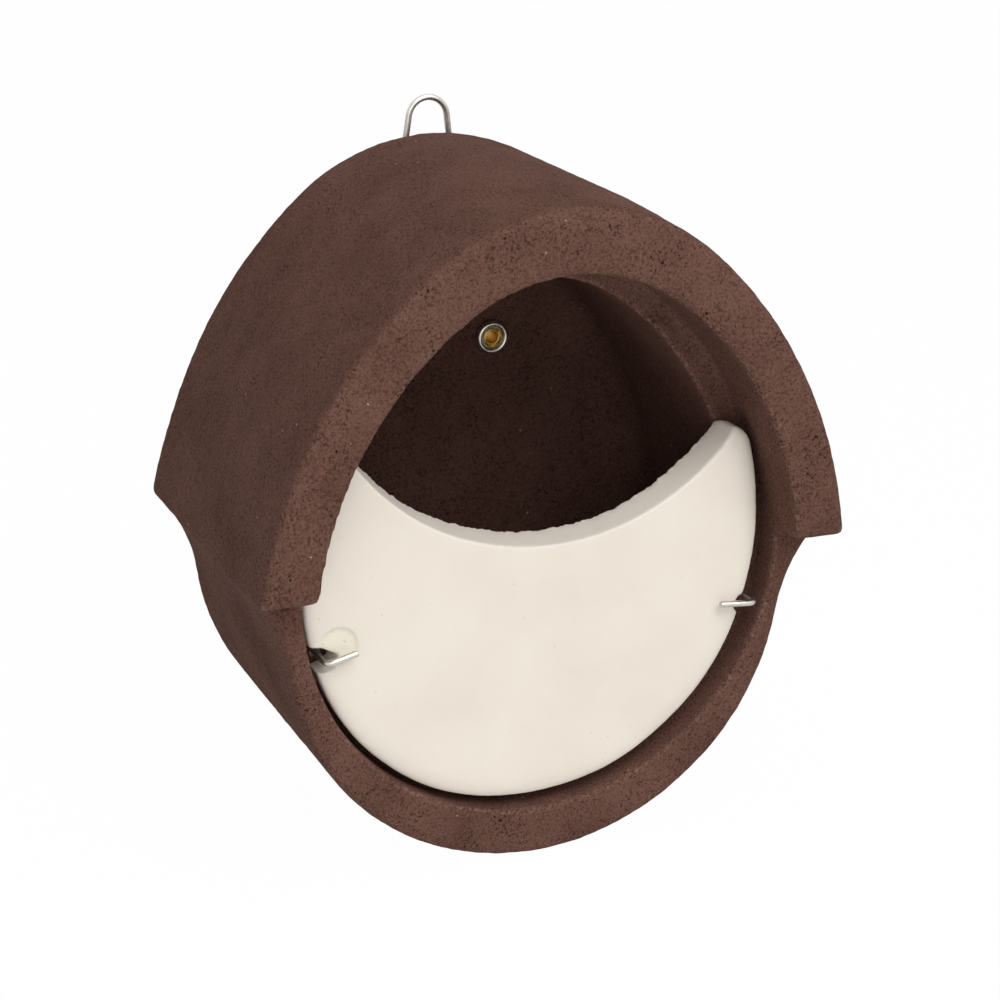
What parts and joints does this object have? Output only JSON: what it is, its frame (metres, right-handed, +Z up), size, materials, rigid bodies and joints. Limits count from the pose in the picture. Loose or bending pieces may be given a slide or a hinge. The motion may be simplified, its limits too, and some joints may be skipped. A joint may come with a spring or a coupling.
{
  "type": "nest box",
  "caption": "Brown woodcrete bird nest box with an arched roof, a wide open mouth closed low down by a pale crescent panel, turning wire hooks and a wire hanging loop",
  "frame": {"origin": "centre of the flat rear face at the height of the eave undersides", "axes": "+X to the right seen from the front, +Y rearwards into the wall, +Z up; the entrance faces -Y"},
  "size_m": [0.19, 0.116, 0.2223],
  "materials": {
    "woodcrete": "matt fine-grained cast woodcrete with small dark pits",
    "painted_woodcrete": "matt pale painted woodcrete with faint bumps",
    "steel_wire": "bright drawn wire",
    "plastic_sleeve": "plain grey plastic",
    "brass": "smooth rolled brass",
    "zinc_plate": "smooth zinc-plated steel"
  },
  "bodies": {
    "body": {"shell": "woodcrete", "front_panel": "painted_woodcrete", "hanging_loop": "steel_wire", "hook_sleeve_left": "plastic_sleeve", "hook_sleeve_right": "plastic_sleeve", "eyelet_left": "brass", "eyelet_right": "brass", "washer_left": "zinc_plate", "washer_right": "zinc_plate"},
    "hook_left": {"hook_left": "steel_wire"},
    "hook_right": {"hook_right": "steel_wire"}
  },
  "joints": [
    {"name": "hook_left_turn", "type": "hinge", "parent": "body", "child": "hook_left", "pos_m": [-0.0712, -0.09, -0.0235], "axis": [0, 1, 0], "continuous": true},
    {"name": "hook_right_turn", "type": "hinge", "parent": "body", "child": "hook_right", "pos_m": [0.0712, -0.09, -0.0235], "axis": [0, 1, 0], "continuous": true}
  ]
}
